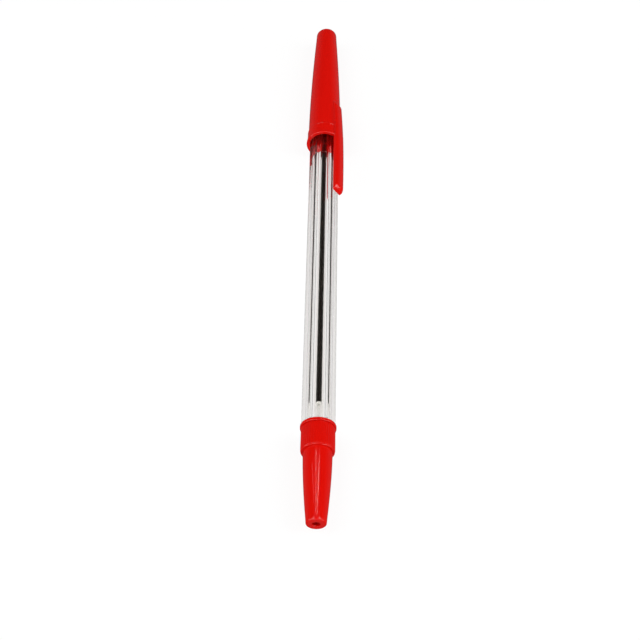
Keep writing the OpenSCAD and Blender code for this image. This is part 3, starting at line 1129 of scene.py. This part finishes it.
    def white_seen(self, tree: bpy.types.NodeTree) -> bpy.types.NodeSocket:
        """The share of plain white that a ray meets: most for the camera, least in gloss.

        Args:
            tree: The node tree.

        Returns:
            The share's socket.
        """
        path = add_node(tree, "LightPath")
        shares = {
            "Is Camera Ray": self.white_share,
            "Is Transmission Ray": self.white_share,
            "Is Glossy Ray": self.gloss_share,
            "Is Diffuse Ray": self.fill_share,
        }
        whole = None
        for ray, share in shares.items():
            part = add_node(tree, "Math", {"operation": "MULTIPLY"}, {
                0: path.outputs[ray], 1: share,
            })
            if whole:
                part = add_node(tree, "Math", {"operation": "MAXIMUM"}, {
                    0: whole, 1: part.outputs[0],
                })
            whole = part.outputs[0]
        return whole

    def world(self) -> None:
        """Makes the room: white to the camera, and a white sweep in the pen's gloss."""
        world = bpy.data.worlds.new("studio")
        bpy.context.scene.world = world
        world.use_nodes = True
        tree = world.node_tree
        tree.nodes.clear()
        direction = add_node(tree, "TexCoord").outputs["Generated"]
        place = add_node(tree, "SeparateXYZ", inputs={"Vector": direction})
        sweep = add_node(tree, "MapRange", {"interpolation_type": "SMOOTHSTEP"}, {
            "Value": place.outputs["Z"], "From Min": self.sweep_start, "From Max": self.sweep_end,
            "To Min": 1.0, "To Max": 0.0,
        })
        near_side = add_node(tree, "MapRange", {"interpolation_type": "SMOOTHSTEP"}, {
            "Value": place.outputs["Y"], "From Min": self.near_wall_end,
            "From Max": self.ceiling_start, "To Min": self.near_wall_level,
            "To Max": self.ceiling_level,
        })
        light = add_node(tree, "Background", inputs={
            "Color": near_side.outputs["Result"], "Strength": 1.0,
        })
        white = add_node(tree, "Background", inputs={"Color": (1, 1, 1, 1), "Strength": 1.0})
        seen_in_pen = add_node(tree, "Math", {"operation": "MULTIPLY"}, {
            0: self.white_seen(tree), 1: sweep.outputs["Result"],
        })
        seen = add_node(tree, "Math", {"operation": "MAXIMUM"}, {
            0: add_node(tree, "LightPath").outputs["Is Camera Ray"], 1: seen_in_pen.outputs[0],
        })
        mix = add_node(tree, "MixShader", inputs={
            0: seen.outputs[0], 1: light.outputs[0], 2: white.outputs[0],
        })
        add_node(tree, "OutputWorld", inputs={"Surface": mix.outputs[0]})

    def hang(
        self, name: str, place: Vector, aim: Vector, size: tuple[float, float], power: float
    ) -> None:
        """Hangs one lamp: a softbox, or a narrow strip that draws a line down a round side.

        Args:
            name: The lamp's name.
            place: Where it hangs, in mm.
            aim: The point that it faces, in mm.
            size: Its width across the pen and its height, in mm.
            power: Its power in watts.
        """
        lamp = bpy.data.lights.new(name, "AREA")
        lamp.shape, lamp.energy = "RECTANGLE", power
        lamp.size, lamp.size_y = (side * MM for side in size)
        hung = new_object(name, lamp)
        hung.location = place * MM
        hung.rotation_euler = (aim - place).to_track_quat("-Z", "Y").to_euler()

    def camera(self) -> None:
        """Sets the camera where the photograph was taken from."""
        lens = bpy.data.cameras.new("photo_camera")
        lens.sensor_width = self.sensor
        lens.lens = self.focal_pixels / PHOTO_PIXELS * self.sensor
        lens.shift_x = -self.sideways_pixels / PHOTO_PIXELS
        lens.shift_y = self.upward_pixels / PHOTO_PIXELS
        lens.clip_start, lens.clip_end = self.sight
        camera = new_object("photo_camera", lens)
        camera.location = Vector(self.camera_place) * MM
        camera.rotation_mode = "QUATERNION"
        tilt = Matrix.Rotation(math.radians(90 - self.camera_elevation), 3, "X")
        roll = Matrix.Rotation(math.radians(self.camera_roll), 3, "Z")
        camera.rotation_quaternion = (tilt @ roll).to_quaternion()
        bpy.context.scene.camera = camera
        bpy.context.scene.view_settings.view_transform = "Standard"

    def light_paths(self) -> None:
        """Lets light bounce on inside the clear walls, which would show black otherwise."""
        paths = bpy.context.scene.cycles
        paths.max_bounces = self.bounces
        paths.glossy_bounces = paths.transmission_bounces = self.bounces


def main() -> None:
    """Builds the pen and its studio in order."""
    logging.basicConfig(level=logging.INFO, format="%(name)s: %(message)s")
    Barrel().build()
    TailPlug().build()
    Refill().build()
    nib = NibSection()
    nib.build()
    nib.sleeve()
    MetalPoint().build()
    Cap().build()
    Clip().build()
    Studio().build()


if __name__ == "__main__":
    main()
